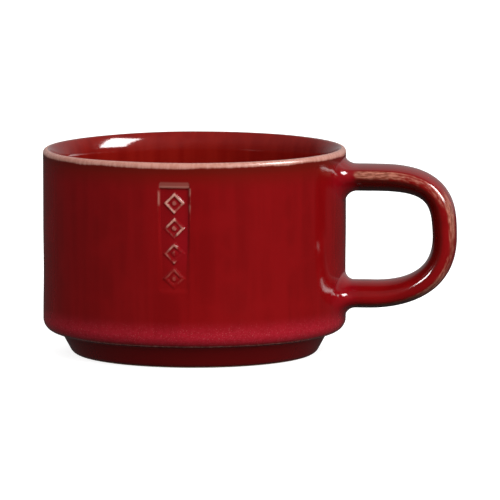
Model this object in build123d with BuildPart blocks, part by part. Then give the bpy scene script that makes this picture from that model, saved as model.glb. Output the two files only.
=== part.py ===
from build123d import *

import os
from math import hypot, radians, sqrt, tan

# Stacking stoneware mug with one loop handle, in millimetres, +Z up.
# The origin is on the cup's axis, in the plane that the foot stands on.
# The handle points to +X and the stamped panel faces -Y.

# Glaze coats
glaze_thickness = 0.6
relief_glaze_thickness = 0.15
glaze_line_height = 0.7
liner_edge_depth = 5.5

# Cup wall, lip and floor, over the glaze
wall_radius = 45.0
cup_height = 61.4
wall_thickness = 4.2
lip_top_width = 1.9
lip_flare_drop = 2.9
lip_outer_rounding = 1.25
lip_inner_rounding = 1.0
lip_flare_rounding = 5.0
inner_corner_radius = 8.0
floor_thickness = 4.8

# Shoulder that a lower cup's lip carries when the cups are stacked
shoulder_height = 6.7
shoulder_rounding = 3.8
ledge_depth = 4.6
ledge_height = 6.85
ledge_rounding = 1.0

# Foot, its contact ring and the turned recess under it
crease_inset = 0.9
crease_drop = 0.6
crease_rounding = 0.5
foot_taper_degrees = 29.0
foot_rounding = 3.0
contact_ring_width = 3.8
ring_rounding = 0.6
recess_depth = 3.2
recess_rounding = 0.8

# Handle bar and its loop, over the glaze
handle_reach = 78.45
upper_bar_drop = 8.25
lower_bar_height = 18.55
upper_bar_thickness = 8.1
side_bar_thickness = 7.3
lower_bar_thickness = 8.2
root_bar_width = 18.5
side_bar_width = 16.5
bar_rounding = 2.4
crown_share = 0.3
upper_straight_share = 0.42
lower_straight_share = 0.32
widest_share = 0.497
upper_pull_shares = (0.553, 0.274)
lower_pull_shares = (0.363, 0.363)
section_place_shares = (0, 0.25, 0.5, 0.75, 1)
shoulder_width_share = 0.5
shoulder_thickness_share = 0.72

# Luted joints between the handle and the wall
slip_thickness = 0.5
upper_collar_share = 0.75
lower_collar_share = 0.88

# Stamped panel and the relief on its floor
panel_width = 9.7
panel_top_margin = 5.3
panel_bottom_margin = 13.0
panel_rounding = 1.2
panel_top_depth = 1.0
panel_bottom_depth = 0.6
lozenge_count = 4
lozenge_width = 6.8
lozenge_gap = 0.7
lozenge_border = 1.1
bead_radius = 0.85
relief_height = 0.5

# How far a cutting shape runs past what it cuts
overrun = 1.0

# Places that follow from the sizes above
lip_start_height = cup_height - lip_outer_rounding
flare_height = cup_height - lip_flare_drop
bore_radius = wall_radius - wall_thickness
wall_middle_radius = wall_radius - wall_thickness / 2
clay_radius = wall_radius - glaze_thickness
ledge_radius = wall_radius - ledge_depth
crease_radius = ledge_radius - crease_inset
crease_height = ledge_height - crease_drop
foot_radius = crease_radius - crease_height * tan(radians(foot_taper_degrees))
recess_radius = foot_radius - contact_ring_width
ring_middle_radius = (foot_radius + recess_radius) / 2
floor_height = recess_depth + floor_thickness
floor_middle_height = recess_depth + floor_thickness / 2
shoulder_top_height = shoulder_height + shoulder_rounding
liner_edge_height = cup_height - liner_edge_depth

# A point in the clay on the diagonal of the inner corner, clear of both coats
corner_diagonal = (inner_corner_radius + 2 * glaze_thickness) * sqrt(1 / 2)
corner_clay_radius = bore_radius - inner_corner_radius + corner_diagonal
corner_clay_height = floor_height + inner_corner_radius - corner_diagonal

# Cross-section of the whole glazed cup, both halves
with BuildSketch(Plane.XZ) as cup_section:
    with BuildLine():
        FilletPolyline(
            (0, recess_depth),
            (recess_radius, recess_depth),
            (recess_radius, 0),
            (foot_radius, 0),
            (crease_radius, crease_height),
            (ledge_radius, ledge_height),
            (wall_radius, shoulder_height),
            (wall_radius, cup_height),
            (wall_radius - lip_top_width, cup_height),
            (bore_radius, flare_height),
            (bore_radius, floor_height),
            (0, floor_height),
            radius=(
                recess_rounding,
                ring_rounding,
                foot_rounding,
                crease_rounding,
                ledge_rounding,
                shoulder_rounding,
                lip_outer_rounding,
                lip_inner_rounding,
                lip_flare_rounding,
                inner_corner_radius,
            ),
        )
        mirror(about=Plane.YZ)
    make_face()

# The skin of that section, one glaze thickness deep
with BuildSketch(Plane.XZ) as skin_section:
    add(cup_section.sketch)
    offset(amount=-glaze_thickness, mode=Mode.SUBTRACT)

# Outer coat: outside the wall's middle, over the lip and down to the liner's edge
with BuildSketch(Plane.XZ) as outer_coat_section:
    with BuildLine():
        Polyline(
            (ring_middle_radius, glaze_line_height),
            (ring_middle_radius, crease_height),
            (corner_clay_radius, corner_clay_height),
            (wall_middle_radius, shoulder_top_height),
            (wall_middle_radius, liner_edge_height),
            (bore_radius - overrun, liner_edge_height),
            (bore_radius - overrun, cup_height + overrun),
            (wall_radius + overrun, cup_height + overrun),
            (wall_radius + overrun, glaze_line_height),
            close=True,
        )
    make_face()
    add(skin_section.sketch, mode=Mode.INTERSECT)

# Liner coat: inside the wall's middle and above the floor's middle
with BuildSketch(Plane.XZ) as liner_section:
    with BuildLine():
        Polyline(
            (0, floor_middle_height),
            (ring_middle_radius, floor_middle_height),
            (corner_clay_radius, corner_clay_height),
            (wall_middle_radius, shoulder_top_height),
            (wall_middle_radius, liner_edge_height),
            (0, liner_edge_height),
            close=True,
        )
    make_face()
    add(skin_section.sketch, mode=Mode.INTERSECT)

# Clay: what the two coats leave of the right half
with BuildSketch(Plane.XZ) as clay_section:
    with Locations((wall_radius, cup_height / 2)):
        Rectangle(2 * wall_radius, cup_height + overrun)
    add(cup_section.sketch, mode=Mode.INTERSECT)
    add(outer_coat_section.sketch, mode=Mode.SUBTRACT)
    add(liner_section.sketch, mode=Mode.SUBTRACT)

# Stamped panel: its place on the wall, and the chain of lozenges that stands on its floor
panel_top = cup_height - panel_top_margin
panel_bottom = shoulder_top_height + panel_bottom_margin
panel_height = panel_top - panel_bottom
panel_middle_height = (panel_top + panel_bottom) / 2
lozenge_pitch = (panel_height - lozenge_gap) / lozenge_count
lozenge_half_height = (lozenge_pitch - lozenge_gap) / 2
lozenge_half_width = lozenge_width / 2
lozenge_edge = hypot(lozenge_half_width, lozenge_half_height)
lozenge_inset_share = lozenge_border * lozenge_edge / (lozenge_half_width * lozenge_half_height)
lozenge_opening_share = 1 - lozenge_inset_share
panel_floor_bottom = wall_radius - panel_bottom_depth
panel_floor_top = wall_radius - panel_top_depth
panel_reach = wall_radius + overrun

with BuildSketch(Plane.XZ) as panel_outline:
    with Locations((0, panel_middle_height)):
        RectangleRounded(panel_width, panel_height, panel_rounding)

with BuildSketch(Plane.XZ) as glazed_panel_outline:
    add(panel_outline.sketch)
    offset(amount=glaze_thickness)

with BuildSketch(Plane.XZ) as glazed_relief_outline:
    with Locations((0, panel_middle_height)):
        with GridLocations(0, lozenge_pitch, 1, lozenge_count):
            Polygon(
                (lozenge_half_width, 0),
                (0, lozenge_half_height),
                (-lozenge_half_width, 0),
                (0, -lozenge_half_height),
            )
            Polygon(
                (lozenge_opening_share * lozenge_half_width, 0),
                (0, lozenge_opening_share * lozenge_half_height),
                (-lozenge_opening_share * lozenge_half_width, 0),
                (0, -lozenge_opening_share * lozenge_half_height),
                mode=Mode.SUBTRACT,
            )
            Circle(bead_radius)

with BuildSketch(Plane.XZ) as clay_relief_outline:
    add(glazed_relief_outline.sketch)
    offset(amount=-relief_glaze_thickness)


def front_piece(outline, inner_shift, outer_bottom, outer_top):
    """An outline on the front wall, from the panel's floor moved by the shift out to two radii."""
    with BuildPart() as piece:
        with BuildSketch(Plane.XZ):
            with BuildLine():
                Polyline(
                    (panel_floor_bottom + inner_shift, panel_bottom - overrun),
                    (outer_bottom, panel_bottom - overrun),
                    (outer_top, panel_top + overrun),
                    (panel_floor_top + inner_shift, panel_top + overrun),
                    close=True,
                )
            make_face()
        revolve(axis=Axis.Z)
        extrude(outline, amount=panel_reach, mode=Mode.INTERSECT)
    return piece.part


panel_pocket = front_piece(panel_outline.sketch, 0, panel_reach, panel_reach)
clay_pocket = front_piece(glazed_panel_outline.sketch, -glaze_thickness, panel_reach, panel_reach)
panel_lining = front_piece(glazed_panel_outline.sketch, -glaze_thickness, wall_radius, wall_radius)
glazed_relief = front_piece(
    glazed_relief_outline.sketch,
    -glaze_thickness,
    panel_floor_bottom + relief_height,
    panel_floor_top + relief_height,
)
clay_relief = front_piece(
    clay_relief_outline.sketch,
    -glaze_thickness,
    panel_floor_bottom + relief_height - relief_glaze_thickness,
    panel_floor_top + relief_height - relief_glaze_thickness,
)

# Handle bar: sections along a loop of two straight runs and two bends, thinner at the side
upper_bar_height = cup_height - upper_bar_drop
loop_span = upper_bar_height - lower_bar_height
loop_middle_height = (upper_bar_height + lower_bar_height) / 2
loop_reach = handle_reach - side_bar_thickness / 2
loop_run = loop_reach - wall_middle_radius

# Each bend is one curve, pulled along its bar and up or down the side by shares of the loop's run and span
widest_height = lower_bar_height + widest_share * loop_span
upper_bend_start = wall_middle_radius + upper_straight_share * loop_run
lower_bend_start = wall_middle_radius + lower_straight_share * loop_run
upper_bar_pull = upper_pull_shares[0] * loop_run
upper_side_pull = upper_pull_shares[1] * loop_span
lower_bar_pull = lower_pull_shares[0] * loop_run
lower_side_pull = lower_pull_shares[1] * loop_span

with BuildLine(Plane.XZ) as loop_path:
    Line((wall_middle_radius, upper_bar_height), (upper_bend_start, upper_bar_height))
    Bezier(
        (upper_bend_start, upper_bar_height),
        (upper_bend_start + upper_bar_pull, upper_bar_height),
        (loop_reach, widest_height + upper_side_pull),
        (loop_reach, widest_height),
    )
    Bezier(
        (loop_reach, widest_height),
        (loop_reach, widest_height - lower_side_pull),
        (lower_bend_start + lower_bar_pull, lower_bar_height),
        (lower_bend_start, lower_bar_height),
    )
    Line((lower_bend_start, lower_bar_height), (wall_middle_radius, lower_bar_height))

# Collars that fill a share of the room between the bar and the lip, and between the bar and the shoulder
upper_collar_room = lip_start_height - upper_bar_height - upper_bar_thickness / 2
lower_collar_room = lower_bar_height - lower_bar_thickness / 2 - shoulder_top_height
upper_collar_radius = upper_collar_share * upper_collar_room
lower_collar_radius = lower_collar_share * lower_collar_room

# Sections half way round each bend, between the root's size and the side's
shoulder_width = side_bar_width + shoulder_width_share * (root_bar_width - side_bar_width)
upper_shoulder_thickening = shoulder_thickness_share * (upper_bar_thickness - side_bar_thickness)
lower_shoulder_thickening = shoulder_thickness_share * (lower_bar_thickness - side_bar_thickness)
bar_widths = (
    root_bar_width,
    shoulder_width,
    side_bar_width,
    shoulder_width,
    root_bar_width,
)
bar_thicknesses = (
    upper_bar_thickness,
    side_bar_thickness + upper_shoulder_thickening,
    side_bar_thickness,
    side_bar_thickness + lower_shoulder_thickening,
    lower_bar_thickness,
)


def bar_face(plane, width, thickness, coat):
    """One section of the bar under a coat: a flat crowned back outwards and a round belly inwards."""
    edge_height = thickness / 2 - crown_share * thickness
    with BuildSketch(plane) as section:
        with BuildLine():
            ThreePointArc((-width / 2, edge_height), (0, thickness / 2), (width / 2, edge_height))
            ThreePointArc((width / 2, edge_height), (0, -thickness / 2), (-width / 2, edge_height))
        make_face()
        fillet(section.vertices(), bar_rounding)
        if coat > 0:
            offset(amount=-coat)
    return section.sketch.faces()[0]


def bar_under(coat):
    """The handle's bar under a coat of this thickness, with both ends inside the wall."""
    loop = loop_path.wires()[0]
    faces = []
    for share, width, thickness in zip(section_place_shares, bar_widths, bar_thicknesses):
        plane = Plane(origin=loop @ share, x_dir=(0, 1, 0), z_dir=loop % share)
        faces.append(bar_face(plane, width, thickness, coat))
    with BuildPart() as bar:
        sweep(sections=faces, path=loop, multisection=True)
    return bar.part


def rooted_bar(bar, coat):
    """The bar with the round collars that lead it into the wall, cut off at the wall's surface."""
    with BuildPart() as rooted:
        Cylinder(
            wall_radius - coat,
            cup_height + upper_bar_drop,
            align=(Align.CENTER, Align.CENTER, Align.MIN),
        )
        add(bar)
        root_edges = rooted.edges(Select.NEW).filter_by(GeomType.BSPLINE)
        lower_edges = root_edges.filter_by_position(Axis.Z, 0, loop_middle_height)
        upper_edges = root_edges.filter_by_position(Axis.Z, loop_middle_height, cup_height)
        fillet(lower_edges, lower_collar_radius + coat)
        fillet(upper_edges, upper_collar_radius + coat)
        Cylinder(
            wall_radius - coat,
            cup_height + upper_bar_drop,
            align=(Align.CENTER, Align.CENTER, Align.MIN),
            mode=Mode.SUBTRACT,
        )
        split(bisect_by=Plane.XY.offset(lip_start_height - coat), keep=Keep.BOTTOM)
    return rooted.part


clay_bar = bar_under(glaze_thickness)
clay_rooted_bar = rooted_bar(clay_bar, glaze_thickness)
glazed_rooted_bar = rooted_bar(bar_under(0), 0)

# Clay cup: wall, floor, shoulder and foot in one piece, with the panel pressed into the wall
with BuildPart() as cup_body:
    add(clay_section.sketch)
    revolve(axis=Axis.Z)
    add(clay_pocket, mode=Mode.SUBTRACT)
    add(clay_relief)

# Handle: the clay bar, its ends cut round to stand off the wall by the slip between them
with BuildPart() as handle:
    add(clay_bar)
    Cylinder(
        clay_radius + slip_thickness,
        cup_height,
        align=(Align.CENTER, Align.CENTER, Align.MIN),
        mode=Mode.SUBTRACT,
    )

# Luted joints: the slip behind each end of the handle and the collar that it is smoothed into
with BuildPart() as handle_joints:
    add(clay_rooted_bar)
    add(handle.part, mode=Mode.SUBTRACT)

lower_solid, upper_solid = handle_joints.solids().sort_by(Axis.Z)

with BuildPart() as upper_handle_joint:
    add(upper_solid)

with BuildPart() as lower_handle_joint:
    add(lower_solid)

# Liner: the glaze on the inside of the cup
with BuildPart() as liner_glaze:
    add(liner_section.sketch)
    revolve(axis=Axis.Z)

# Outer coat: it lines the panel, lies thin over the lozenges and stops at the handle's collars
with BuildPart() as outer_glaze:
    add(outer_coat_section.sketch)
    revolve(axis=Axis.Z)
    add(panel_lining)
    add(panel_pocket, mode=Mode.SUBTRACT)
    add(glazed_relief)
    add(clay_relief, mode=Mode.SUBTRACT)
    add(clay_rooted_bar, mode=Mode.SUBTRACT)

# Handle's coat: the glaze round the bar and both collars
with BuildPart() as handle_glaze:
    add(glazed_rooted_bar)
    add(clay_rooted_bar, mode=Mode.SUBTRACT)

os.makedirs("parts", exist_ok=True)

cup_body.part.label = "cup_body"
export_step(cup_body.part, "parts/cup_body.step")

handle.part.label = "handle"
export_step(handle.part, "parts/handle.step")

upper_handle_joint.part.label = "upper_handle_joint"
export_step(upper_handle_joint.part, "parts/upper_handle_joint.step")

lower_handle_joint.part.label = "lower_handle_joint"
export_step(lower_handle_joint.part, "parts/lower_handle_joint.step")

liner_glaze.part.label = "liner_glaze"
export_step(liner_glaze.part, "parts/liner_glaze.step")

outer_glaze.part.label = "outer_glaze"
export_step(outer_glaze.part, "parts/outer_glaze.step")

handle_glaze.part.label = "handle_glaze"
export_step(handle_glaze.part, "parts/handle_glaze.step")
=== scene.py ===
from math import acos, atan2, ceil, cos, hypot, pi, radians, sin, sqrt, tan

import bmesh
import bpy
import numpy as np
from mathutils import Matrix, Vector


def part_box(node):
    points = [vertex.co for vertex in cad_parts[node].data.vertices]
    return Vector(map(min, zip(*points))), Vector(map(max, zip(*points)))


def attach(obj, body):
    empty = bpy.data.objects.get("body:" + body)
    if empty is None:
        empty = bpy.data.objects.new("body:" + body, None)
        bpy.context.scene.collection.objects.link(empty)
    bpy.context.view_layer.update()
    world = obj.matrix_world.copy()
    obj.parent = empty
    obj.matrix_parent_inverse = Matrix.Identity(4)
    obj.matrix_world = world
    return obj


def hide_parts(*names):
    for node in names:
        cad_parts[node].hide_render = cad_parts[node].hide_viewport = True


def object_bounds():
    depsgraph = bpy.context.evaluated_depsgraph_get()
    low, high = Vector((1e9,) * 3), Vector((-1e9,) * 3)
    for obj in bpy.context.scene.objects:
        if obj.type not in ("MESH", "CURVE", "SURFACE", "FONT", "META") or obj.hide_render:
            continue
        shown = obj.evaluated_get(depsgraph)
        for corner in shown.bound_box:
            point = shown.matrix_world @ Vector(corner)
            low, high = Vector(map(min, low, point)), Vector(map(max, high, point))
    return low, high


# A low stoneware mug in red glaze, with one loop handle and a stamped panel on its front.
# Shapes are worked out in millimetres, in the CAD's frame, and turned into metres when a mesh is made.
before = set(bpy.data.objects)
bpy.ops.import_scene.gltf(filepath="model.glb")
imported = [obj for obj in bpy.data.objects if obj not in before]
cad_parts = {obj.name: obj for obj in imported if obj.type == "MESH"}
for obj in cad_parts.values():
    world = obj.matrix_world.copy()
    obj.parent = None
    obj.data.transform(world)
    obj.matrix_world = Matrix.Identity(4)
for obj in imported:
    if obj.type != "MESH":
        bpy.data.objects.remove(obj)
cad_low, cad_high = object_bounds()
scene = bpy.context.scene
METRES = 0.001
BODY = "root"


def frame_mm(node):
    """A CAD node's lowest and highest corner, in millimetres."""
    low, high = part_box(node)
    return np.array(low) / METRES, np.array(high) / METRES


# Sizes that the frame gives
wall_radius = -cad_low.x / METRES
cup_height = cad_high.z / METRES
handle_reach = cad_high.x / METRES
glaze_thickness = wall_radius + frame_mm("cup_body")[0][0]
bore_radius = frame_mm("liner_glaze")[1][0] - glaze_thickness
floor_height = frame_mm("liner_glaze")[0][2] + glaze_thickness

# Lip
lip_outer_rounding = 1.25
lip_inner_rounding = 1.0
lip_flare_rounding = 8.0
lip_flare_drop = 2.9
lip_top_width = 1.9
liner_edge_depth = 5.5

# Shoulder, ledge and foot
inner_corner_radius = 8.0
shoulder_height = 6.7
shoulder_rounding = 3.8
ledge_depth = 4.6
ledge_radius = wall_radius - ledge_depth
ledge_height = 6.85
ledge_rounding = 1.0
crease_inset = 0.9
crease_drop = 0.6
crease_radius = ledge_radius - crease_inset
crease_height = ledge_height - crease_drop
crease_rounding = 0.5
foot_taper = radians(29)
foot_radius = crease_radius - crease_height * tan(foot_taper)
foot_rounding = 3.0
ring_width = 3.8
ring_rounding = 0.6
recess_depth = 3.2
recess_rounding = 0.8

# Glaze edges, and the marks of the hand
glaze_line_height = 0.35
wiped_thickness = 0.12
wiped_width = 2.0
hidden_clearance = 0.03
wall_margin = 0.5
unevenness = 0.02
fine_unevenness = 0.004
even_foot_height = 3.0
waist_depth = 0.12
waist_bottom = 12.0
waist_span = 27.0
lip_sag = 0.35
lip_sag_start_share = 0.2
spiral_pitch = 6.5
spiral_depth = 0.05
spiral_radii = (1, 6)
groove_pitch = 1.4
groove_depth = 0.05
groove_radii = (0, 4)
groove_steady_share = 0.6
groove_top = recess_depth + 0.5
handle_lump = 0.05
handle_lump_rise = 4.0

# Meshes: the spacing of their points, along and round each piece, and the folds that stay sharp
sharp_fold = radians(75)
path_step = 0.05
curve_points = 400
angle_samples = 20001
column_spacing = 1.0
panel_column_spacing = 0.22
wall_row_spacing = 0.6
panel_row_spacing = 0.23
edge_row_spacing = 0.26
edge_row_depth = 4.0
liner_row_spacing = 0.8
back_row_spacing = 2.0
clay_row_spacing = 1.6
bare_row_spacing = 0.35
bare_row_height = recess_depth + 1.0
clay_columns = 180
handle_spacing = 0.6
back_arc_points = 34
corner_arc_points = 22
belly_arc_points = 38

# Panel and its chain of lozenges
panel_width = 9.0
panel_shift = 0.6
panel_top = 56.1
panel_bottom = 23.5
panel_rounding = 1.2
panel_bevel = 2.0
panel_bevel_depth = 0.3
panel_step = 0.45
panel_top_depth = 1.0
panel_bottom_depth = 0.2
panel_top_blur = 0.3
panel_bottom_blur = 1.3
panel_blur_shares = (0.1, 0.7)
blur_outside_share = 0.3
least_stamp_depth = 0.05
panel_lower_margin = 2.0
panel_upper_margin = 1.0
panel_row_margin = 1.5
panel_column_arcs = (panel_width / 2 + 1.2, panel_width / 2 + 7)
lozenge_count = 4
lozenge_width = 6.8
lozenge_gap = 0.7
lozenge_border = 1.1
bead_radius = 0.95
bead_rise_share = 1.1
relief_height = 0.5
relief_edge = (-0.15, 0.4)
melt_contrast = 0.8
least_kept_share = 0.35

# Marks on the panel. Each pair runs from where a mark is absent to where it is full.
panel_pool_depths = (0.25, 0.6)
panel_pool_arcs = (-3, 5)
panel_pool_share = 0.15
panel_lower_pool_share = 0.5
crest_shares = (0.55, 0.9)
crest_heights = (panel_bottom, panel_top - 4)
low_crest_share = 0.25
side_fade = (0.1, -0.3)
bevel_start = (-0.2, 0.4)
bevel_end = (panel_bevel + 0.2, panel_bevel - 0.1)
bevel_stamp_depths = (0.0, 0.08)
# The pale on the panel's sloping top is a painted reflection; the lines on its fold and sides are glaze worn
# thin
bevel_sheen_share = 0.45
fold_drop = panel_bevel - 0.35
fold_fade = (0.5, 0.2)
rim_line_offset = 0.1
rim_line_fade = (0.34, 0.1)
panel_worn_length = 8.5
rim_line_end = (panel_worn_length + 1.5, panel_worn_length - 1.5)
line_worn_share = 0.9

# Marks on the cup's glaze, in the same way, by height, radius or bend
lip_break_heights = (cup_height - 1.9, cup_height - 0.9)
lip_break_radii = (wall_radius - 1.9, wall_radius - 1.1)
lip_raggedness = 0.12
inside_radii = (wall_radius - 1.2, wall_radius - 2.0)
inside_bottom = shoulder_height + 4
sharpest_bend = 4.0
bend_blur_rounds = 2
edge_bends = (0.25, 0.9)
ledge_break_share = 0.5
edge_break_top = cup_height - 3
front_break_share = 0.6
turned_under_heights = (shoulder_height + 1.1, shoulder_height + 0.5)
turned_under_bottom = shoulder_height - 0.1
turned_under_radii = (ledge_radius + 1.5, ledge_radius + 2.2)
turned_under_share = 0.55
liner_pool_heights = (floor_height + 6, floor_height + 1)
liner_pool_radii = (bore_radius - 16, bore_radius - 5)
liner_pool_share = 0.4
root_pool_share = 0.35
root_pool_half_width = 14.5
root_pool_half_height = 8.0
root_pool_start = 2.0
root_pool_reach = 3.2
root_pool_fade_shares = (1.25, 0.7)
rim_heights = (cup_height - 9, cup_height - 2)
burnt_heights = (cup_height - 4.2, cup_height - 2.0)
haze_heights = (15.5, 10.0)
haze_end_heights = (7.0, 8.6)
# The foot below the ledge is painted darker by height: painted shade under the shoulder's overhang
foot_shade_heights = (crease_height + 1.0, crease_height - 0.5)

# Handle bar and its loop: two straight runs and two curves, pulled by shares of the loop's run and span
upper_bar_drop = 8.25
upper_bar_height = cup_height - upper_bar_drop
lower_bar_height = 18.55
upper_bar_thickness = 8.1
side_bar_thickness = 7.3
lower_bar_thickness = 8.2
root_bar_width = 18.5
side_bar_width = 16.5
bar_rounding = 2.4
crown_share = 0.3
half_wall = 2.1
wall_middle_radius = wall_radius - half_wall
reach_clearance = 0.1
upper_straight_share = 0.42
lower_straight_share = 0.32
widest_share = 0.497
upper_pull_shares = (0.553, 0.274)
lower_pull_shares = (0.363, 0.363)
section_place_shares = (0, 0.25, 0.5, 0.75, 1)
shoulder_width_share = 0.5
shoulder_thickness_share = 0.72

# Handle roots: the plain bar's start, then each collar's reach along it and flare at its side, top and bottom
plain_bar_start = 51.0
root_rows = 14
seam_sink = 0.06
upper_root_reaches = (4.3, 3.2, 3.7)
upper_root_flares = (5.2, 2.0, 3.7)
lower_root_reaches = (4.6, 2.7, 3.5)
lower_root_flares = (5.8, 2.7, 3.5)
join_shares = (0.25, 0.5, 0.75)

# Marks on the bar's glaze, in the same way, by lean in degrees, share of its length or distance off the wall
corner_break_leans = (-34, 14)
corner_end_leans = (58, 44)
back_break_leans = (26, 56)
back_end_leans = (83, 77)
back_break_shares = (0.3, 0.46)
lower_fade_shares = (0.62, 0.8)
lower_fade_share = 0.35
steady_break_share = 0.8
# Painted shade: dark brown on the upper and side bar's faces turned down or in towards the cup, and on the
# lower bar's underside, where it also stands for the glaze's dark olive-brown edge
belly_shade_leans = (6, -26)
belly_end_shares = (0.75, 0.6)
belly_shade_share = 0.8
belly_fade_share = 0.3
foot_shade_leans = (20, 50)
foot_shade_shares = (0.62, 0.74)
foot_shade_share = 0.75
collar_fade = (3.5, 5.5)

# Floor and lights in metres, and the world's brightness for matt colour and in reflections
floor_half = 6.0
floor_grey = 0.5
floor_glow = 0.82
floor_roughness = 0.9
matt_above = 0.55
matt_everywhere = 0.12
gloss_behind = 0.42
gloss_above = 0.15
gloss_everywhere = 0.05
matt_above_fade = (-0.3, 0.5)
gloss_above_fade = (0.2, 0.7)
gloss_behind_fade = (0.3, 0.9)
horizon_fade = (-0.1, 0.04)
wash_distance = 2.0

# Camera: it stands this far from the aim point, turned towards the handle
camera_azimuth = radians(8)
camera_elevation = radians(6.98)
camera_distance = 2307.0
aim_height = 30.0
frame_shift_right = 16.46
frame_shift_up = 0.57
pixels_per_mm = 3.367
picture_pixels = 500
sensor_width = 36.0


def smoothstep(low, high, value):
    """0 below low, 1 above high and a smooth rise between them, or the other way round."""
    share = np.clip((value - low) / (high - low), 0, 1)
    return share * share * (3 - 2 * share)


def raised(least, share):
    """A share of 0 to 1 brought to lie between the least and 1."""
    return least + (1 - least) * share


def unit(vector):
    """The vector at a length of 1."""
    return vector / np.linalg.norm(vector)


def waves(size, seed, count=24):
    """A smooth random field, mostly -1 to 1, whose lumps are about this many millimetres across."""
    random = np.random.RandomState(seed)
    directions = random.normal(size=(count, 3))
    directions /= np.linalg.norm(directions, axis=1)[:, None]
    steps = directions * (2 * pi / (size * random.uniform(1.5, 3.0, count)))[:, None]
    phases = random.uniform(0, 2 * pi, count)

    def field(points):
        return sum(np.cos(points @ step + phase) for step, phase in zip(steps, phases)) * sqrt(2 / count)

    return field


def respaced(path, spacing):
    """The path sampled again, its points as far apart as spacing says at each place."""
    steps = np.linalg.norm(np.diff(path, axis=0), axis=1)
    counts = np.concatenate([[0], np.cumsum(steps / spacing((path[1:] + path[:-1]) / 2))])
    wanted = np.linspace(0, counts[-1], max(2, ceil(counts[-1])) + 1)
    return np.stack([np.interp(wanted, counts, path[:, k]) for k in range(path.shape[1])], 1)


def rounded_path(table):
    """Points, finely and evenly spaced, along a polyline through a table of corners and their roundings."""
    table = np.array(table, float)
    corners, radii = table[:, :2], table[1:-1, 2]
    knots = [corners[0]]
    for before, corner, after, radius in zip(corners, corners[1:], corners[2:], radii):
        back, ahead = unit(before - corner), unit(after - corner)
        turn = pi - acos(np.clip(back @ ahead, -1, 1))
        centre = corner + unit(back + ahead) * radius / cos(turn / 2)
        start = unit(corner + back * radius * tan(turn / 2) - centre)
        end = unit(corner + ahead * radius * tan(turn / 2) - centre)
        across = unit(end - start * (end @ start))
        angles = np.linspace(0, turn, 2 + ceil(turn * radius / path_step))
        knots += [centre + radius * (start * cos(angle) + across * sin(angle)) for angle in angles]
    knots.append(corners[-1])
    return respaced(np.array(knots), lambda points: path_step)


def curved_path(corners):
    """Points along a cubic curve that its four corners pull."""
    share = np.linspace(0, 1, curve_points)[:, None]
    weights = ((1 - share) ** 3, 3 * share * (1 - share) ** 2, 3 * share**2 * (1 - share), share**3)
    return sum(weight * np.array(corner, float) for weight, corner in zip(weights, corners))


def smooth_through(places, values, wanted):
    """The smooth curve through values at places, read at the wanted places."""
    return np.polyval(np.polyfit(places, values, len(places) - 1), wanted)


def distances_along(path):
    """How far along the path each of its points lies."""
    return np.concatenate([[0], np.cumsum(np.linalg.norm(np.diff(path, axis=0), axis=1))])


def path_normals(path):
    """Unit normals to the right of a path in its plane."""
    along = np.gradient(path, axis=0)
    normals = np.stack([along[:, 1], -along[:, 0]], 1)
    return normals / np.linalg.norm(normals, axis=1)[:, None]


def ring_faces(rows, columns, closed):
    """Quads of a grid whose columns wrap round, and whose rows do too when it is closed."""
    row, column = np.meshgrid(np.arange(rows if closed else rows - 1), np.arange(columns), indexing="ij")
    here, there, right = row * columns, (row + 1) % rows * columns, (column + 1) % columns
    faces = np.stack([here + column, here + right, there + right, there + column], 2)
    return faces.reshape(-1, 4).tolist()


def grid_normals(points):
    """Unit normals of a grid of points whose columns wrap round."""
    normals = np.cross(np.roll(points, -1, axis=1) - np.roll(points, 1, axis=1), np.gradient(points, axis=0))
    return normals / np.maximum(np.linalg.norm(normals, axis=2), 1e-12)[..., None]


def convexity(points):
    """How sharply a grid of points bends, in 1/mm: above 0 on outward edges and below 0 in hollows."""
    normals = grid_normals(points)
    bend = np.zeros(points.shape[:2])
    neighbours = [(axis, shift) for axis in (0, 1) for shift in (1, -1)]
    for axis, shift in neighbours:
        step = np.roll(points, shift, axis=axis) - points
        turn = np.roll(normals, shift, axis=axis) - normals
        length = np.maximum((step * step).sum(2), 1e-9)
        bend += np.clip((step * turn).sum(2) / length, -sharpest_bend, sharpest_bend) / len(neighbours)
    bend[0], bend[-1] = bend[1], bend[-2]
    return bend


def blurred(values, rounds):
    """A grid of values averaged with its neighbours a number of times. Columns wrap round."""
    for _ in range(rounds):
        padded = np.concatenate([values[:1], values, values[-1:]])
        along = (padded[:-2] + padded[2:] + 2 * values) / 4
        values = (np.roll(along, 1, axis=1) + np.roll(along, -1, axis=1) + 2 * along) / 4
    return values


def placed(name, data):
    """A new object in the scene that shows a mesh, a light or a camera."""
    made = bpy.data.objects.new(name, data)
    scene.collection.objects.link(made)
    return made


def new_piece(name, points, faces, layers, node, slot):
    """A closed mesh of points in millimetres that replaces a CAD node, with layers of values at them."""
    mesh = bpy.data.meshes.new(name)
    mesh.from_pydata((points * METRES).tolist(), [], faces)
    for layer, values in layers.items():
        attribute = mesh.attributes.new(layer, "FLOAT", "POINT")
        attribute.data.foreach_set("value", np.asarray(values, np.float32).ravel())
    shell = bmesh.new()
    shell.from_mesh(mesh)
    bmesh.ops.recalc_face_normals(shell, faces=shell.faces)
    for edge in shell.edges:
        edge.smooth = edge.calc_face_angle(0) < sharp_fold
    shell.to_mesh(mesh)
    shell.free()
    mesh.polygons.foreach_set("use_smooth", [True] * len(mesh.polygons))
    mesh.update()
    piece = placed(name, mesh)
    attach(piece, BODY)
    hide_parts(node)
    return piece


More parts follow.
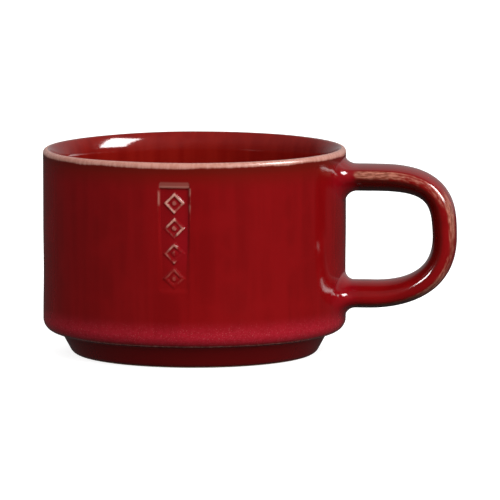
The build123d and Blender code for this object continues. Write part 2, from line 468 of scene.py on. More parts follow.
# Profile of the glazed cup, from the recess's middle to the floor's middle: radius, height and rounding
profile = rounded_path(
    (
        (0, recess_depth, 0),
        (foot_radius - ring_width, recess_depth, recess_rounding),
        (foot_radius - ring_width, 0, ring_rounding),
        (foot_radius, 0, foot_rounding),
        (crease_radius, crease_height, crease_rounding),
        (ledge_radius, ledge_height, ledge_rounding),
        (wall_radius, shoulder_height, shoulder_rounding),
        (wall_radius, cup_height, lip_outer_rounding),
        (wall_radius - lip_top_width, cup_height, lip_inner_rounding),
        (bore_radius, cup_height - lip_flare_drop, lip_flare_rounding),
        (bore_radius, floor_height, inner_corner_radius),
        (0, floor_height, 0),
    )
)

# Its rows where the outer coat begins, where the lip is highest and where the liner begins
on_foot_side = profile[:, 0] > foot_radius - foot_rounding
glaze_row = int(np.argmax(on_foot_side & (profile[:, 1] > glaze_line_height)))
lip_row = int(np.argmax(profile[:, 1]))
liner_row = lip_row + int(np.argmax(profile[lip_row:, 1] < cup_height - liner_edge_depth))
outer_path = profile[glaze_row : liner_row + 1]
liner_path = profile[liner_row:]

# Random fields, each with the size of its lumps and its seed
coat_waves = waves(30, 3)
fine_waves = waves(7, 5)
melt_waves = waves(2.2, 11)
edge_waves = waves(6, 13)
handle_waves = waves(9, 21)


def panel_arc(angle):
    """The distance along the wall from the panel's middle at an angle round the cup."""
    return (angle + pi / 2) * wall_radius - panel_shift


def panel_depth(arc, height):
    """How deep the stamp went, in millimetres, at an arc to the right of its middle and a height."""
    share = np.clip((height - panel_bottom) / (panel_top - panel_bottom), 0, 1)
    blur = panel_bottom_blur + (panel_top_blur - panel_bottom_blur) * smoothstep(*panel_blur_shares, share)
    middle = (panel_top + panel_bottom) / 2
    x = np.abs(arc) - panel_width / 2 + panel_rounding
    y = np.abs(height - middle) - (panel_top - panel_bottom) / 2 + panel_rounding
    beyond = np.hypot(np.maximum(x, 0), np.maximum(y, 0)) + np.minimum(np.maximum(x, y), 0)
    inside = panel_rounding - beyond
    depth = panel_bottom_depth + (panel_top_depth - panel_bottom_depth) * share
    depth = depth * smoothstep(-blur_outside_share * blur, blur, inside)
    from_top = panel_top - height
    bevel = panel_bevel_depth * np.clip(from_top / panel_bevel, 0, 1)
    step = smoothstep(panel_bevel, panel_bevel + panel_step, from_top)
    return np.minimum(depth, bevel + step * panel_top_depth)


def relief_rise(arc, height):
    """How far the chain of lozenges stands up from the panel's floor, in millimetres."""
    chain_top = panel_top - panel_bevel - panel_step
    pitch = (chain_top - panel_bottom - lozenge_gap) / lozenge_count
    half_height = (pitch - lozenge_gap) / 2
    half_width = lozenge_width / 2
    steepness = hypot(half_width, half_height) / (half_width * half_height)
    rise = np.zeros_like(arc)
    for place in np.arange(lozenge_count) - (lozenge_count - 1) / 2:
        middle = (chain_top + panel_bottom) / 2 + place * pitch
        x, y = np.abs(arc), np.abs(height - middle)
        inside = (1 - x / half_width - y / half_height) / steepness
        border = smoothstep(*relief_edge, inside) * smoothstep(*relief_edge, lozenge_border - inside)
        bead = np.sqrt(np.clip(1 - (np.hypot(x, y) / bead_radius) ** 2, 0, 1))
        rise = np.maximum(rise, np.maximum(border, bead * bead_rise_share))
    return relief_height * rise


def kept_share(points):
    """How much of the relief and of its worn lines is left, 0 to 1, in small lumps."""
    return np.clip(0.5 + melt_contrast * melt_waves(points), 0, 1)


def wall_sink(points, level):
    """How far the wall lies inside the true cylinder: hand-made unevenness and a slight waist."""
    uneven = unevenness * (1 + coat_waves(points)).clip(0, 2.4)
    uneven = uneven + fine_unevenness * (1 + fine_waves(points)).clip(0, 2)
    waist = waist_depth * np.sin(pi * np.clip((level - waist_bottom) / waist_span, 0, 1)) ** 2
    on_wall = np.hypot(points[..., 0], points[..., 1]) > wall_radius - wall_margin
    return uneven * smoothstep(0, even_foot_height, level) + waist * on_wall


def cup_points(path, angles, depth):
    """The path turned round the axis, stamped and uneven, at a depth under the glaze's surface."""
    normals = path_normals(path)
    radius, level = path[:, :1], path[:, 1:] + 0 * angles[None, :]
    theta = angles[None, :] + 0 * radius
    arc = panel_arc(theta)
    points = np.stack([radius * np.cos(theta), radius * np.sin(theta), level], 2)
    relief = relief_rise(arc, level) * raised(least_kept_share, kept_share(points))
    front = (radius > wall_radius - wall_margin) & (np.abs(arc) < panel_width)
    stamp = panel_depth(arc, level)
    stamp = np.maximum(stamp - relief, np.minimum(stamp, least_stamp_depth)) * front
    sink = wall_sink(points, level) + stamp + np.reshape(depth, (-1, 1))
    outward = [normals[:, :1] * np.cos(theta), normals[:, :1] * np.sin(theta), normals[:, 1:] + 0 * theta]
    points = points - np.stack(outward, 2) * sink[..., None]
    off_handle = smoothstep(lip_sag_start_share, 1, -np.cos(theta))
    points[..., 2] -= lip_sag * off_handle * smoothstep(floor_height, cup_height, level)
    return points


def turn_angles():
    """Angles all round the cup, closer together across the panel."""
    positions = np.linspace(-pi, pi, angle_samples)
    arc = np.abs((positions + pi / 2) * wall_radius)
    coarse = smoothstep(*panel_column_arcs, arc)
    gaps = panel_column_spacing + (column_spacing - panel_column_spacing) * coarse
    steps = np.diff(positions) * wall_radius / ((gaps[1:] + gaps[:-1]) / 2)
    counts = np.concatenate([[0], np.cumsum(steps)])
    total = int(round(counts[-1]))
    return np.interp(np.arange(total) * counts[-1] / total, counts, positions)


def outer_spacing(points):
    """How far apart the outer coat's rows are: close at the panel, the lip, the ledge and the foot."""
    height = points[:, 1]
    on_panel = (height > panel_bottom - panel_row_margin) & (height < panel_top + panel_upper_margin)
    gaps = np.where(on_panel, panel_row_spacing, wall_row_spacing)
    on_edge = (height > cup_height - edge_row_depth) | (height < shoulder_height)
    return np.where(on_edge, edge_row_spacing, gaps)


def clay_spacing(points):
    """How far apart the clay's rows are: close where it is bare."""
    return np.where(points[:, 1] < bare_row_height, bare_row_spacing, clay_row_spacing)


def coat_depth(walked):
    """The outer coat's thickness at distances from its edge at the foot, which is wiped thin."""
    return wiped_thickness + (glaze_thickness - wiped_thickness) * smoothstep(0, wiped_width, walked)


def root_pool(points):
    """1 where the glaze has run together round the handle's two roots, 0 away from them."""
    pool = np.zeros(points.shape[:-1])
    for height in (upper_bar_height, lower_bar_height):
        across = points[..., 1] / root_pool_half_width
        up = (points[..., 2] - height) / root_pool_half_height
        out = np.maximum(points[..., 0] - wall_radius - root_pool_start, 0) / root_pool_reach
        near = smoothstep(*root_pool_fade_shares, np.sqrt(across**2 + up**2 + out**2))
        pool = np.maximum(pool, near * (points[..., 0] > 0))
    return pool


def panel_marks(arc, level, in_front, kept):
    """Where glaze has pooled in the panel, broken on its crests and worn off its edges, and where a painted
    reflection lies on its sloping top: 0 to 1.
    """
    stamp = panel_depth(arc, level)
    lower_right = smoothstep(*panel_pool_arcs, arc) * smoothstep(panel_top, panel_bottom, level)
    pool = smoothstep(*panel_pool_depths, stamp) * in_front
    pool = pool * (panel_pool_share + panel_lower_pool_share * lower_right)
    crest = smoothstep(*crest_shares, relief_rise(arc, level) / relief_height) * in_front
    crest = crest * raised(low_crest_share, smoothstep(*crest_heights, level))
    crest = crest * raised(least_kept_share, kept)
    from_top = panel_top - level
    from_side = np.abs(arc) - panel_width / 2
    between_sides = smoothstep(*side_fade, from_side)
    # The sloping top's pale band is a painted reflection
    bevel = smoothstep(*bevel_start, from_top) * smoothstep(*bevel_end, from_top)
    bevel = bevel * between_sides * smoothstep(*bevel_stamp_depths, stamp)
    fold = smoothstep(*fold_fade, np.abs(from_top - fold_drop)) * between_sides
    rim_line = smoothstep(*rim_line_fade, np.abs(from_side - rim_line_offset))
    rim_line = rim_line * smoothstep(*rim_line_end, from_top) * (from_top > panel_bevel)
    lines = line_worn_share * np.maximum(fold, kept * rim_line)
    return pool, crest, np.maximum(bevel_sheen_share * bevel, lines) * in_front


def wrapped(skin, back, layers):
    """Points, faces and layers of a closed coat whose skin and back are rings. Its back has layers of 0."""
    blank = np.zeros(back.shape[:2])
    layers = {layer: np.concatenate([values, blank]) for layer, values in layers.items()}
    points = np.concatenate([skin, back])
    rows, columns = points.shape[:2]
    return points.reshape(-1, 3), ring_faces(rows, columns, True), layers


def make_outer_coat(angles):
    """The glaze on the outside, over the lip and a little way down inside."""
    skin = respaced(outer_path, outer_spacing)
    back = respaced(outer_path, lambda points: back_row_spacing)
    front_points = cup_points(skin, angles, 0 * skin[:, 0])
    back_points = cup_points(back, angles, coat_depth(distances_along(back)))[::-1]
    radius = skin[:, :1] + 0 * angles[None, :]
    level = skin[:, 1:] + 0 * angles[None, :]
    arc = panel_arc(angles[None, :]) + 0 * level
    in_front = (level > panel_bottom - panel_lower_margin) & (level < panel_top + panel_upper_margin)
    in_front = in_front & (np.abs(arc) < panel_width) & (radius > wall_radius - wall_margin)
    inside = smoothstep(*inside_radii, radius) * (level > inside_bottom)

    lip = smoothstep(*lip_break_heights, level + lip_raggedness * edge_waves(front_points))
    lip = lip * smoothstep(*lip_break_radii, radius)
    at_ledge = ledge_break_share * smoothstep(crease_height, ledge_height, level)
    bend = blurred(convexity(front_points), bend_blur_rounds)
    edge = smoothstep(*edge_bends, bend) * np.where(level > shoulder_height, 1.0, at_ledge)
    thin = np.maximum(lip, edge * (level < edge_break_top))
    turned_under = smoothstep(*turned_under_heights, level) * (level > turned_under_bottom)
    turned_under = turned_under * smoothstep(*turned_under_radii, radius)
    thin = np.maximum(thin, turned_under_share * turned_under)

    pool, crest, worn = panel_marks(arc, level, in_front, kept_share(front_points))
    thin = np.maximum(np.where(in_front, front_break_share, 1.0) * thin, crest)
    pool = np.maximum(pool, root_pool_share * root_pool(front_points))
    layers = {"thin": thin, "pool": pool, "inside": inside, "worn": worn}
    coat = wrapped(front_points, back_points, layers)
    return new_piece("outer_glaze_coat", *coat, "outer_glaze", "outer_glaze")


def capped(rings, first, last, layers):
    """Points, faces and layers of a closed solid of rings, with a point at the middle of each end."""
    rows, columns = rings.shape[:2]
    count = rows * columns
    last_row = count - columns
    points = np.concatenate([rings.reshape(-1, 3), [first, last]])
    faces = ring_faces(rows, columns, False)
    for column in range(columns):
        right = (column + 1) % columns
        faces.append((count, right, column))
        faces.append((count + 1, last_row + column, last_row + right))
    layers = {layer: np.concatenate([values.ravel(), [0, 0]]) for layer, values in layers.items()}
    return points, faces, layers


def make_liner(angles):
    """The glaze inside: down the wall, round the corner and over the floor, with a faint spiral."""
    skin = respaced(liner_path, lambda points: liner_row_spacing)
    back = respaced(liner_path, lambda points: back_row_spacing)
    front_points = cup_points(skin[:-1], angles, 0 * skin[:-1, 0])
    back_points = cup_points(back[:-1], angles, np.full(len(back) - 1, glaze_thickness))[::-1]
    theta = np.arctan2(front_points[..., 1], front_points[..., 0])
    radius = np.hypot(front_points[..., 0], front_points[..., 1])
    low = smoothstep(*liner_pool_heights, front_points[..., 2])
    swirl = np.sin(2 * pi * radius / spiral_pitch - theta) * smoothstep(*spiral_radii, radius)
    front_points[..., 2] += spiral_depth * (swirl - 1) * low
    pool = liner_pool_share * low * smoothstep(*liner_pool_radii, radius)
    blank = np.zeros(back_points.shape[:2])
    layers = {"pool": np.concatenate([blank, pool]), "inside": np.concatenate([blank, 1 + 0 * pool])}
    rings = np.concatenate([back_points, front_points])
    under = np.array([0, 0, floor_height - glaze_thickness])
    over = front_points[-1].mean(0)
    return new_piece("liner_glaze_coat", *capped(rings, under, over, layers), "liner_glaze", "liner_glaze")


def make_clay():
    """The clay cup under the glaze: bare on the contact ring and in the turned recess."""
    angles = np.linspace(-pi, pi, clay_columns, endpoint=False)
    path = respaced(profile, clay_spacing)[1:-1]
    walked = distances_along(path)
    edge = walked[int(np.argmin(np.linalg.norm(path - outer_path[0], axis=1)))]
    depth = (walked > edge) * (coat_depth(walked - edge) + hidden_clearance)
    rings = cup_points(path, angles, depth)
    theta = np.arctan2(rings[..., 1], rings[..., 0])
    radius = np.hypot(rings[..., 0], rings[..., 1])
    in_recess = (rings[..., 2] < groove_top) & (radius < foot_radius - ring_width)
    strength = groove_steady_share + (1 - groove_steady_share) * coat_waves(rings)
    grooves = np.sin(2 * pi * radius / groove_pitch - theta) * strength
    rings[..., 2] += groove_depth * (1 + grooves) * in_recess * smoothstep(*groove_radii, radius)
    first = np.array([0, 0, recess_depth])
    last = np.array([0, 0, floor_height - glaze_thickness - hidden_clearance])
    return new_piece("clay_cup", *capped(rings, first, last, {}), "cup_body", "stoneware_clay")


def bar_outline(width, thickness, depth):
    """One section of the bar: points (across, out) and their normals, a crowned back and a round belly."""
    half, edge = width / 2, thickness / 2 - crown_share * thickness
    back_rise, belly_rise = thickness / 2 - edge, thickness / 2 + edge
    back_radius = (half**2 + back_rise**2) / (2 * back_rise)
    belly_radius = (half**2 + belly_rise**2) / (2 * belly_rise)
    back_centre, belly_centre = thickness / 2 - back_radius, belly_radius - thickness / 2
    gap = (back_radius - bar_rounding) ** 2 - (belly_radius - bar_rounding) ** 2
    corner_out = (back_centre**2 - belly_centre**2 - gap) / (2 * (back_centre - belly_centre))
    corner_across = sqrt((back_radius - bar_rounding) ** 2 - (corner_out - back_centre) ** 2)
    back_turn = atan2(corner_out - back_centre, corner_across)
    belly_turn = atan2(corner_out - belly_centre, corner_across)
    arcs = (
        (0, back_centre, back_radius, pi - back_turn, back_turn, back_arc_points),
        (corner_across, corner_out, bar_rounding, back_turn, belly_turn, corner_arc_points),
        (0, belly_centre, belly_radius, belly_turn, -pi - belly_turn, belly_arc_points),
        (-corner_across, corner_out, bar_rounding, -pi - belly_turn, -pi - back_turn, corner_arc_points),
    )
    points, normals = [], []
    for across, out, radius, start, end, count in arcs:
        turns = np.linspace(start, end, count, endpoint=False)
        normal = np.stack([np.cos(turns), np.sin(turns)], 1)
        points.append(np.array([across, out]) + normal * (radius - depth))
        normals.append(normal)
    return np.concatenate(points)[::-1], np.concatenate(normals)[::-1]


# The foot's and the wall's outer side, up to the lip
outer_side = profile[glaze_row:lip_row]


def wall_reach(across, height):
    """How far out along X the cup's uneven wall lies, at a distance across it and a height."""
    radius = np.interp(height, outer_side[:, 1], outer_side[:, 0])
    out = np.sqrt(np.maximum(radius**2 - across**2, 0))
    points = np.stack([out, across, height], -1)
    return out - wall_sink(points, height)


def root_rings(height, up, outline, normals, depth, reaches, flares):
    """Rings that lead the bar's end into the wall, from the wall outwards."""
    across, level = outline[:, 0], height + up * outline[:, 1]
    side, rise = normals[:, 0], up * normals[:, 1]
    weights = np.stack([side**2, np.where(rise > 0, rise**2, 0), np.where(rise > 0, 0, rise**2)])
    reach = np.array(reaches) @ weights + depth
    flare = np.array(flares) @ weights + depth
    rings = []
    for turn in np.linspace(pi / 2, 0, root_rows):
        y = across + side * flare * (1 - cos(turn))
        z = level + rise * flare * (1 - cos(turn))
        x = wall_reach(y, z) + reach * (1 - sin(turn)) - depth - seam_sink * (turn / (pi / 2)) ** 4
        rings.append(np.stack([x, y, z], 1))
    return rings


def handle_rings(depth):
    """The handle's rings from the upper root to the lower, at a depth under the glaze's surface."""
    reach = handle_reach - reach_clearance - side_bar_thickness / 2
    run, span = reach - wall_middle_radius, upper_bar_height - lower_bar_height
    widest = lower_bar_height + widest_share * span
    upper_bend = wall_middle_radius + upper_straight_share * run
    lower_bend = wall_middle_radius + lower_straight_share * run
    upper_curve = (
        (upper_bend, upper_bar_height),
        (upper_bend + upper_pull_shares[0] * run, upper_bar_height),
        (reach, widest + upper_pull_shares[1] * span),
        (reach, widest),
    )
    lower_curve = (
        (reach, widest),
        (reach, widest - lower_pull_shares[1] * span),
        (lower_bend + lower_pull_shares[0] * run, lower_bar_height),
        (lower_bend, lower_bar_height),
    )
    runs = [[(plain_bar_start, upper_bar_height)], curved_path(upper_curve), curved_path(lower_curve)[1:]]
    loop = np.concatenate(runs + [[(plain_bar_start, lower_bar_height)]])
    loop = respaced(loop, lambda points: handle_spacing)
    root_run = plain_bar_start - wall_middle_radius
    walked = np.arange(len(loop)) * handle_spacing
    shares = (walked + root_run) / (walked[-1] + 2 * root_run)
    upper, side, lower = upper_bar_thickness, side_bar_thickness, lower_bar_thickness
    upper_shoulder = side + shoulder_thickness_share * (upper - side)
    lower_shoulder = side + shoulder_thickness_share * (lower - side)
    shoulder_width = side_bar_width + shoulder_width_share * (root_bar_width - side_bar_width)
    place_widths = (root_bar_width, shoulder_width, side_bar_width, shoulder_width, root_bar_width)
    place_thicknesses = (upper, upper_shoulder, side, lower_shoulder, lower)
    widths = smooth_through(section_place_shares, place_widths, shares)
    thicknesses = smooth_through(section_place_shares, place_thicknesses, shares)
    rings = []
    for place, inward, width, thickness in zip(loop, path_normals(loop), widths, thicknesses):
        points, _ = bar_outline(width, thickness, depth)
        x = place[0] - points[:, 1] * inward[0]
        z = place[1] - points[:, 1] * inward[1]
        rings.append(np.stack([x, points[:, 0], z], 1))
    ends = []
    for height, up, place, reaches, flares in (
        (upper_bar_height, 1, 0, upper_root_reaches, upper_root_flares),
        (lower_bar_height, -1, -1, lower_root_reaches, lower_root_flares),
    ):
        outline, normals = bar_outline(widths[place], thicknesses[place], depth)
        end = root_rings(height, up, outline, normals, depth, reaches, flares)
        between = [end[-1] * (1 - share) + rings[place] * share for share in join_shares]
        ends.append(end + between)
    return np.array(ends[0] + rings + ends[1][::-1])


def make_handle_coat():
    """The glaze round the handle's bar, run together in a collar at each root."""
    skin = handle_rings(0)
    from_wall = skin[..., 0] - wall_reach(skin[..., 1], skin[..., 2])
    lumps = handle_lump * (1 + handle_waves(skin)).clip(0, 2.5) * smoothstep(0, handle_lump_rise, from_wall)
    skin = skin - grid_normals(skin) * lumps[..., None]
    inner = handle_rings(glaze_thickness)[::-1]
    _, facing = bar_outline(side_bar_width, side_bar_thickness, 0)
    lean = np.degrees(np.arctan2(facing[:, 1], np.abs(facing[:, 0])))[None, :]
    share = np.linspace(0, 1, len(skin))[:, None]
    off_collar = smoothstep(*collar_fade, from_wall)

    on_corner = smoothstep(*corner_break_leans, lean) * smoothstep(*corner_end_leans, lean)
    on_back = smoothstep(*back_break_leans, lean) * smoothstep(*back_end_leans, lean)
    further = smoothstep(*back_break_shares, share)
    edge = on_corner * (1 - further) + on_back * further
    edge = edge * (1 - lower_fade_share * smoothstep(*lower_fade_shares, share))
    thin = edge * off_collar * (steady_break_share + (1 - steady_break_share) * fine_waves(skin))

    # Painted shade on the bar's faces that turn down or in towards the cup, with the lower bar's dark glaze
    # edge
    belly = smoothstep(*belly_shade_leans, lean) * smoothstep(*belly_end_shares, share)
    belly = belly * (belly_shade_share - belly_fade_share * further)
    foot = smoothstep(*foot_shade_leans, lean) * smoothstep(*foot_shade_shares, share)
    burnt = np.maximum(belly, foot_shade_share * foot) * off_collar

    rows, columns = skin.shape[:2]
    along = np.arange(rows)[:, None] * handle_spacing + np.zeros((1, columns))
    around = np.arange(columns)[None, :] * (2 * (side_bar_width + side_bar_thickness) / columns) + 0 * along
    pool = root_pool_share * root_pool(skin)
    layers = {"thin": thin, "pool": pool, "along": along, "around": around, "burnt": burnt}
    return new_piece("handle_glaze_coat", *wrapped(skin, inner, layers), "handle_glaze", "handle_glaze")


def make_handle_clay():
    """The clay bar under the coat, and the slip that joins each end of it to the wall."""
    rings = handle_rings(glaze_thickness + hidden_clearance)
    root = root_rows + len(join_shares)
    made = []
    for name, part, node, slot in (
        ("handle_clay_bar", rings[root - 1 : 1 - root], "handle", "handle_clay"),
        ("upper_root_slip", rings[:root], "upper_handle_joint", "luting_slip"),
        ("lower_root_slip", rings[-root:], "lower_handle_joint", "luting_slip"),
    ):
        made.append(new_piece(name, *capped(part, part[0].mean(0), part[-1].mean(0), {}), node, slot))
    return made


# Pieces
cup_angles = turn_angles()
outer_coat = make_outer_coat(cup_angles)
liner_coat = make_liner(cup_angles)
clay_cup = make_clay()
handle_coat = make_handle_coat()
clay_bar, *root_slips = make_handle_clay()


def wired(tree, kind, inputs, **settings):
    """A new node, with a value or another node's output given to each of these inputs."""
    made = tree.nodes.new(kind)
    for name, value in settings.items():
        setattr(made, name, value)
    for key, value in inputs.items():
        if isinstance(value, bpy.types.NodeSocket):
            tree.links.new(value, made.inputs[key])
        else:
            made.inputs[key].default_value = value
    return made


def mixed(tree, share, first, second):
    """One colour run into another by a share."""
    return wired(tree, "ShaderNodeMix", {0: share, 6: first, 7: second}, data_type="RGBA").outputs[2]


def stepped(tree, value, low, high):
    """0 below low, 1 above high and a smooth rise between them, or the other way round."""
    inputs = {"Value": value, "From Min": low, "From Max": high}
    return wired(tree, "ShaderNodeMapRange", inputs, interpolation_type="SMOOTHSTEP").outputs["Result"]


def ranged(tree, value, low, high):
    """A value from 0 to 1 brought to lie between low and high."""
    inputs = {"Value": value, "To Min": low, "To Max": high}
    return wired(tree, "ShaderNodeMapRange", inputs).outputs["Result"]


def maths(tree, operation, first, second):
    """Two numbers joined by an operation."""
    return wired(tree, "ShaderNodeMath", {0: first, 1: second}, operation=operation).outputs[0]


def noise(tree, place, scale, detail):
    """A smooth noise, around a half, read at a place."""
    inputs = {"Vector": place, "Scale": scale, "Detail": detail}
    return wired(tree, "ShaderNodeTexNoise", inputs).outputs["Fac"]


def layer(tree, name):
    """A value that the mesh holds at its points."""
    return wired(tree, "ShaderNodeAttribute", {}, attribute_name=name).outputs["Fac"]


def srgb(red, green, blue):
    """A colour as a screen's 0 to 255 turned into the shader's linear light."""
    shares = (red / 255, green / 255, blue / 255)
    linear = [share / 12.92 if share < 0.04045 else ((share + 0.055) / 1.055) ** 2.4 for share in shares]
    return (*linear, 1.0)


def new_material(name):
    """An empty material with its shader, its tree and the place in millimetres."""
    material = bpy.data.materials.new(name)
    material.use_nodes = True
    tree = material.node_tree
    tree.nodes.clear()
    shader = tree.nodes.new("ShaderNodeBsdfPrincipled")
    output = tree.nodes.new("ShaderNodeOutputMaterial")
    tree.links.new(shader.outputs["BSDF"], output.inputs["Surface"])
    place = wired(tree, "ShaderNodeTexCoord", {}).outputs["Object"]
    inputs = {"Vector": place, "Scale": (1 / METRES, 1 / METRES, 1 / METRES)}
    return material, tree, shader, wired(tree, "ShaderNodeMapping", inputs).outputs["Vector"]


def surfaced(tree, shader, colour, rough, height, strength, distance):
    """Gives the shader a colour, a roughness and a bump from a height."""
    bump = wired(tree, "ShaderNodeBump", {"Height": height, "Strength": strength, "Distance": distance})
    tree.links.new(colour, shader.inputs["Base Color"])
    tree.links.new(rough, shader.inputs["Roughness"])
    tree.links.new(bump.outputs["Normal"], shader.inputs["Normal"])


def make_glaze(name, broken, draw, ragged):
    """A glossy red glaze that breaks pale where it is thin and deepens to crimson where it has pooled."""
    material, tree, shader, place = new_material(name)
    height = wired(tree, "ShaderNodeSeparateXYZ", {"Vector": place}).outputs["Z"]
    drawn = draw(tree, place)

    # Noises, each with its scale per millimetre and its detail
    streaks = noise(tree, drawn, 0.28, 3.0)
    threads = noise(tree, drawn, 1.1, 4.0)
    mottle = noise(tree, place, 0.9, 4.0)
    clouds = noise(tree, place, 0.12, 2.0)
    specks = noise(tree, place, 3.4, 2.0)
    peel = noise(tree, place, 0.35, 2.0)

    drawn_share = stepped(tree, streaks, 0.32, 0.68)
    colour = mixed(tree, drawn_share, *wall_colours)
    colour = mixed(tree, stepped(tree, clouds, 0.4, 0.75), colour, wall_colours[1])
    colour = mixed(tree, stepped(tree, height, *rim_heights), colour, rim_colour)
    burnt = maths(tree, "MULTIPLY", stepped(tree, height, *burnt_heights), burnt_share)
    colour = mixed(tree, burnt, colour, burnt_colour)
    colour = mixed(tree, layer(tree, "inside"), colour, mixed(tree, drawn_share, *inside_colours))

    haze = stepped(tree, height, *haze_heights)
    haze = maths(tree, "MULTIPLY", haze, stepped(tree, height, *haze_end_heights))
    cloudy = maths(tree, "MULTIPLY", haze, stepped(tree, mottle, -0.5, 1.55))
    colour = mixed(tree, cloudy, colour, haze_colour)
    speckle = maths(tree, "MULTIPLY", haze, stepped(tree, specks, 0.6, 0.72))
    colour = mixed(tree, maths(tree, "MULTIPLY", speckle, speckle_share), colour, speckle_colour)
    colour = mixed(tree, layer(tree, "pool"), colour, pool_colour)
    # Painted shade: the foot below the ledge darkened by height, as if shadowed by the shoulder
    colour = mixed(tree, stepped(tree, height, *foot_shade_heights), colour, foot_shade_colour)

    rough_mottle = maths(tree, "SUBTRACT", mottle, 0.5)
    rough_threads = maths(tree, "SUBTRACT", threads, 0.5)
    rough_edge = maths(tree, "ADD", rough_mottle, rough_threads)
    near_edge = stepped(tree, layer(tree, "thin"), 0.0, 0.3)
    thin = maths(tree, "ADD", layer(tree, "thin"), maths(tree, "MULTIPLY", rough_edge, ragged))
    thin = maths(tree, "MULTIPLY", stepped(tree, thin, 0.1, 0.95), near_edge)
    colour = mixed(tree, thin, colour, mixed(tree, stepped(tree, threads, 0.4, 0.62), *broken))
    # Painted shade under the handle's bar, dark brown and mottled by the glaze's threads, partly the glaze's
    # own dark edge on the lower bar
    edge_and_shade = maths(tree, "MULTIPLY", layer(tree, "burnt"), stepped(tree, threads, 0.1, 0.5))
    colour = mixed(tree, edge_and_shade, colour, dark_edge_and_shade_colour)
    # Glaze worn thin on the panel's edges, and a painted reflection on its sloping top
    colour = mixed(tree, layer(tree, "worn"), colour, worn_and_sheen_colour)

    rough = ranged(tree, mottle, *glaze_roughness)
    rough = maths(tree, "ADD", rough, maths(tree, "MULTIPLY", thin, thin_roughness))
    surfaced(tree, shader, colour, rough, peel, *glaze_bump)
    shader.inputs["IOR"].default_value = glaze_refraction
    return material


def drawn_down(tree, place):
    """The place squeezed along the height, so that a noise read there runs down the wall."""
    return wired(tree, "ShaderNodeMapping", {"Vector": place, "Scale": (1, 1, 0.07)}).outputs["Vector"]


def drawn_along(tree, place):
    """The place round the bar and, squeezed, along it, so that a noise read there runs along the handle."""
    along = maths(tree, "MULTIPLY", layer(tree, "along"), 0.4)
    return wired(tree, "ShaderNodeCombineXYZ", {"X": along, "Y": layer(tree, "around")}).outputs["Vector"]


def make_fired_clay(name, base, dark):
    """Bare fired stoneware: buff clay with iron specks, faint flashing and a fine tooth."""
    material, tree, shader, place = new_material(name)
    flashing = noise(tree, place, 0.09, 3.0)
    grain = noise(tree, place, 3.0, 5.0)
    specks = wired(tree, "ShaderNodeTexVoronoi", {"Vector": place, "Scale": 0.8}).outputs["Distance"]
    colour = mixed(tree, stepped(tree, flashing, 0.35, 0.7), base, dark)
    colour = mixed(tree, maths(tree, "MULTIPLY", stepped(tree, grain, 0.45, 0.8), 0.35), colour, dark)
    colour = mixed(tree, stepped(tree, specks, 0.17, 0.1), colour, iron_speck_colour)
    surfaced(tree, shader, colour, ranged(tree, grain, *clay_roughness), grain, *clay_bump)
    return material


# How the surfaces shine. A bump has its strength and its height.
glaze_refraction = 1.52
glaze_roughness = (0.07, 0.15)
thin_roughness = 0.15
glaze_bump = (0.35, 0.06 * METRES)
clay_roughness = (0.72, 0.92)
clay_bump = (0.6, 0.2 * METRES)

# Colours, as the eye sees them under the studio light, and how far two of them show
wall_colours = (srgb(112, 6, 8), srgb(122, 8, 11))
inside_colours = (srgb(108, 12, 8), srgb(118, 18, 12))
rim_colour = srgb(104, 12, 6)
burnt_colour = srgb(86, 16, 7)
burnt_share = 0.6
haze_colour = srgb(170, 31, 49)
speckle_colour = srgb(200, 130, 130)
speckle_share = 0.24
pool_colour = srgb(134, 10, 26)
# Dark red painted shade for the foot under the shoulder
foot_shade_colour = srgb(92, 6, 7)
# Dark brown for the painted shade under the handle, and for the lower bar's dark glaze edge
dark_edge_and_shade_colour = srgb(50, 12, 4)
lip_broken = (srgb(174, 117, 102), srgb(185, 131, 118))
# Pale for the worn panel edges and for the painted reflection on the panel's top
worn_and_sheen_colour = srgb(150, 92, 82)
handle_broken = (srgb(122, 60, 42), srgb(170, 104, 86))
clay_base = srgb(205, 184, 158)
clay_dark = srgb(176, 146, 116)
iron_speck_colour = srgb(96, 66, 48)

wall_glaze = make_glaze("wall_glaze", lip_broken, drawn_down, 0.4)
inside_glaze = make_glaze("inside_glaze", lip_broken, drawn_down, 0.4)
bar_glaze = make_glaze("bar_glaze", handle_broken, drawn_along, 0.75)
fired_clay = make_fired_clay("fired_stoneware", clay_base, clay_dark)
joint_clay = make_fired_clay("luting_slip_clay", clay_dark, clay_base)
pieces = (outer_coat, liner_coat, handle_coat, clay_cup, clay_bar, *root_slips)
materials = (wall_glaze, inside_glaze, bar_glaze, fired_clay, fired_clay, joint_clay, joint_clay)
for piece, material in zip(pieces, materials):
    piece.data.materials.append(material)

# Floor
floor_mesh = bpy.data.meshes.new("studio_floor")
corner_signs = ((-1, -1), (1, -1), (1, 1), (-1, 1))
floor_mesh.from_pydata([(x * floor_half, y * floor_half, 0) for x, y in corner_signs], [], [(0, 1, 2, 3)])
floor = placed("studio_floor", floor_mesh)
floor.visible_glossy = False
floor.visible_diffuse = False
floor_material, _, floor_shader, _ = new_material("pale_floor")
floor_shader.inputs["Base Color"].default_value = (floor_grey, floor_grey, floor_grey, 1.0)
floor_shader.inputs["Emission Color"].default_value = (1.0, 1.0, 1.0, 1.0)
floor_shader.inputs["Emission Strength"].default_value = floor_glow
floor_shader.inputs["Roughness"].default_value = floor_roughness
floor_shader.inputs["Specular IOR Level"].default_value = 0.0
floor_mesh.materials.append(floor_material)

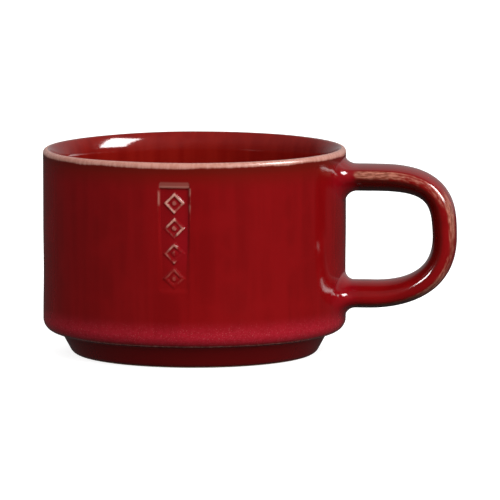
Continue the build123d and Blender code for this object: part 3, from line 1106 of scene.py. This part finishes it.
# World: white to the camera, brighter above for matt colour, and for gloss dark but behind and above
world = bpy.data.worlds.new("studio")
scene.world = world
world.use_nodes = True
sky = world.node_tree
sky.nodes.clear()
ray = wired(sky, "ShaderNodeLightPath", {})
facing = wired(sky, "ShaderNodeTexCoord", {}).outputs["Generated"]
parts = wired(sky, "ShaderNodeSeparateXYZ", {"Vector": facing})
level = parts.outputs["Z"]
behind = stepped(sky, parts.outputs["Y"], *gloss_behind_fade)
behind = maths(sky, "MULTIPLY", behind, stepped(sky, level, *horizon_fade))
behind = maths(sky, "MULTIPLY", behind, gloss_behind)
above = maths(sky, "MULTIPLY", stepped(sky, level, *gloss_above_fade), gloss_above)
gloss = maths(sky, "ADD", maths(sky, "ADD", behind, above), gloss_everywhere)
matt = maths(sky, "MULTIPLY", stepped(sky, level, *matt_above_fade), matt_above)
matt = maths(sky, "ADD", matt, matt_everywhere)
strength = wired(sky, "ShaderNodeMix", {0: ray.outputs["Is Glossy Ray"], 2: matt, 3: gloss}).outputs[0]
strength = wired(sky, "ShaderNodeMix", {0: ray.outputs["Is Camera Ray"], 2: strength, 3: 1.0}).outputs[0]
background = wired(sky, "ShaderNodeBackground", {"Strength": strength})
wired(sky, "ShaderNodeOutputWorld", {"Surface": background.outputs["Background"]})


def add_light(name, kind, direction, distance, power, **settings):
    """A light that stands along a direction from the cup and shines at its middle."""
    light = bpy.data.lights.new(name, kind)
    light.energy = power
    for key, value in settings.items():
        setattr(light, key, value)
    lamp = placed(name, light)
    away = Vector(direction).normalized()
    lamp.location = away * distance + Vector((0, 0, aim_height * METRES))
    lamp.rotation_euler = away.to_track_quat("Z", "Y").to_euler()
    return lamp


# Three softboxes that show only in reflections, two of them only on the handle's coat
handle_only = bpy.data.collections.new("handle_only")
handle_only.objects.link(handle_coat)
for name, direction, distance, power, wide, high, receivers in (
    ("key_softbox", (0.80, -0.07, 0.60), 1.6, 45, 0.72, 0.84, None),
    ("side_softbox", (-0.68, -0.21, 0.70), 1.7, 15, 0.5, 0.5, handle_only),
    ("bend_softbox", (-0.60, -0.56, 0.52), 1.5, 28, 0.55, 0.55, handle_only),
):
    softbox = add_light(name, "AREA", direction, distance, power, shape="RECTANGLE", size=wide, size_y=high)
    softbox.light_linking.receiver_collection = receivers
    softbox.visible_diffuse = False

# Four broad lights that light the matt colour alone
for name, direction, power, breadth in (
    ("front_wash", (0.592, -0.624, 0.5), 3.28, 60),
    ("left_wash", (-0.842, -0.47, 0.3), 0.7, 80),
    ("low_wash", (0.88, -0.46, 0.1), 0.5, 80),
    ("back_wash", (-0.2, 0.93, 0.2), 1.0, 80),
):
    wash = add_light(name, "SUN", direction, wash_distance, power, angle=radians(breadth))
    wash.visible_glossy = False

# Camera
toward = Vector(
    (
        sin(camera_azimuth) * cos(camera_elevation),
        -cos(camera_azimuth) * cos(camera_elevation),
        sin(camera_elevation),
    )
)
right = Vector((cos(camera_azimuth), sin(camera_azimuth), 0))
upward = toward.cross(right)
aim = Vector((0, 0, aim_height)) + right * frame_shift_right + upward * frame_shift_up
camera_data = bpy.data.cameras.new("photo_camera")
camera_data.sensor_width = sensor_width
camera_data.lens = pixels_per_mm * camera_distance * sensor_width / picture_pixels
camera = placed("photo_camera", camera_data)
camera.location = (aim + toward * camera_distance) * METRES
camera.rotation_euler = toward.to_track_quat("Z", "Y").to_euler()
scene.camera = camera
scene.view_settings.view_transform = "Standard"
